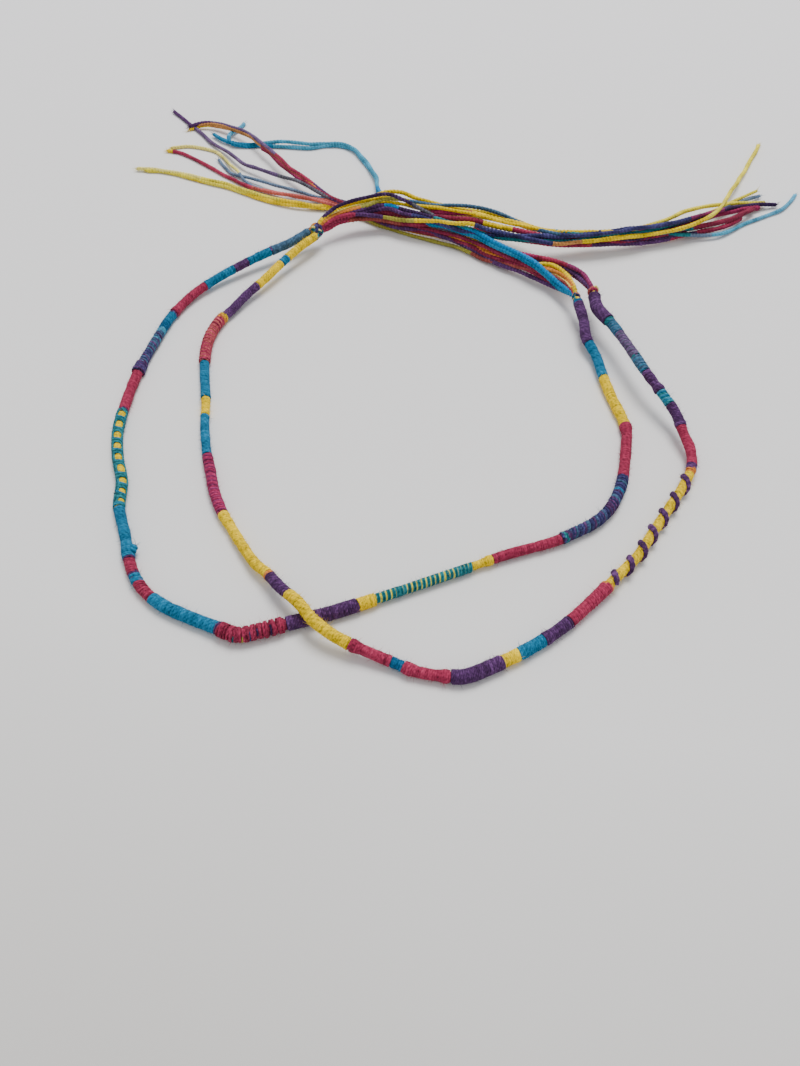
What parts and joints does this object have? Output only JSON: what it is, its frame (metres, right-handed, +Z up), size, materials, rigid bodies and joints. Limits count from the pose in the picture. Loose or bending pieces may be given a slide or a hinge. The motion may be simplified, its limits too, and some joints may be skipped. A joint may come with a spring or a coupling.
{
  "type": "string bracelet",
  "caption": "String bracelet of strands wrapped in bands of coloured cotton thread, lying in a wide loop, knotted at their ends, with bare thread tails that cross and fan out.",
  "frame": {"origin": "on the surface the bracelet lies on, under the middle of the box of its wrapped strands and knots", "axes": "+Z up from the surface, +Y from the front of the loop to its tied tails, +X to the right of that"},
  "size_m": [0.1212, 0.1299, 0.0061],
  "materials": {
    "blue_cotton": "bright blue cotton thread, wound side by side",
    "dark_blue_cotton": "dark blue cotton thread",
    "blue_violet_cotton": "dark blue and purple cotton threads wound together",
    "purple_cotton": "dark purple cotton thread",
    "violet_cotton": "greyish violet cotton thread",
    "red_cotton": "crimson cotton thread",
    "orange_red_cotton": "crimson cotton with fine orange threads",
    "magenta_cotton": "magenta cotton with purple lines",
    "yellow_cotton": "yellow cotton thread",
    "teal_cotton": "teal cotton crossed or coiled over yellow",
    "knot_threads": "several colours of cotton thread pulled tight in one knot",
    "tail_threads": "bare twisted cotton threads in yellow, blue, red, magenta and purple"
  },
  "bodies": {
    "root": {"outer_01_dark_blue": "dark_blue_cotton", "outer_02_blue": "blue_cotton", "outer_03_purple": "purple_cotton", "outer_04_blue": "blue_cotton", "outer_05_red": "red_cotton", "outer_06_blue_violet": "blue_violet_cotton", "outer_07_purple": "purple_cotton", "outer_08_red": "red_cotton", "outer_09_crossed_teal": "teal_cotton", "outer_10_blue": "blue_cotton", "outer_11_red": "red_cotton", "outer_12_blue": "blue_cotton", "outer_13_bulky_red": "red_cotton", "outer_14_purple": "purple_cotton", "outer_15_yellow": "yellow_cotton", "outer_16_coiled_teal": "teal_cotton", "outer_17_yellow": "yellow_cotton", "outer_18_red": "red_cotton", "outer_19_blue_violet": "blue_violet_cotton", "outer_20_red": "red_cotton", "outer_21_yellow": "yellow_cotton", "outer_22_blue": "blue_cotton", "outer_23_purple": "purple_cotton", "inner_01_yellow": "yellow_cotton", "inner_02_blue": "blue_cotton", "inner_03_yellow": "yellow_cotton", "inner_04_purple": "purple_cotton", "inner_05_orange_red": "orange_red_cotton", "inner_06_blue": "blue_cotton", "inner_07_yellow": "yellow_cotton", "inner_08_blue": "blue_cotton", "inner_09_magenta": "magenta_cotton", "inner_10_yellow": "yellow_cotton", "inner_11_purple": "purple_cotton", "inner_12_yellow": "yellow_cotton", "inner_13_red": "red_cotton", "inner_14_blue": "blue_cotton", "inner_15_red": "red_cotton", "inner_16_purple": "purple_cotton", "inner_17_yellow": "yellow_cotton", "inner_18_blue": "blue_cotton", "inner_19_purple": "purple_cotton", "inner_20_red": "red_cotton", "inner_21_spiralled_yellow": "yellow_cotton", "inner_22_red": "red_cotton", "inner_23_purple": "purple_cotton", "inner_24_blue": "blue_cotton", "inner_25_purple": "purple_cotton", "inner_26_blue": "blue_cotton", "inner_27_violet": "violet_cotton", "inner_28_blue": "blue_cotton", "inner_29_purple": "purple_cotton", "purple_spiral": "purple_cotton", "shared_knot": "knot_threads", "outer_end_knot": "knot_threads", "inner_end_knot": "knot_threads", "upper_left_tails": "tail_threads", "lower_left_tails": "tail_threads", "outer_right_tails": "tail_threads", "inner_right_tails": "tail_threads"}
  },
  "joints": []
}
